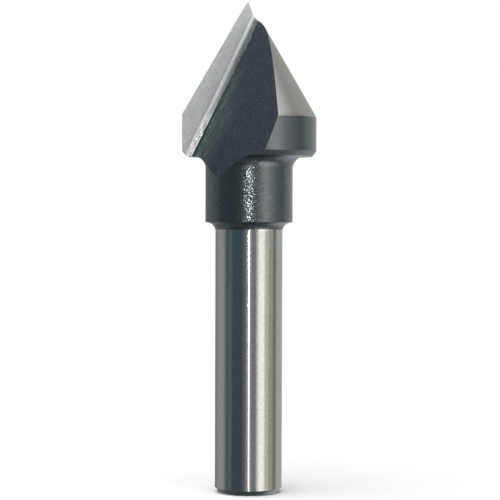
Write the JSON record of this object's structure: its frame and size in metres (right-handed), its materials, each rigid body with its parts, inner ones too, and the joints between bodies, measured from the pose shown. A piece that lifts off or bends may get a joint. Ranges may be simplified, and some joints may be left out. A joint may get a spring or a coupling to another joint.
{
  "type": "countersink",
  "caption": "Single-flute 60 degree countersink with a stepped neck and a plain cylindrical shank, standing point up on its shank end.",
  "frame": {"origin": "centre of the flat shank end", "axes": "+Z along the tool's axis, from the shank end to the point; the cutting edge lies on the -X side and the flute opens towards -Y"},
  "size_m": [0.016, 0.0158, 0.0583],
  "materials": {
    "tool_steel": "ground bright on the shank, rake face with its corner radius and cone land, black oxide elsewhere"
  },
  "bodies": {
    "root": {"countersink": "tool_steel"}
  },
  "joints": []
}
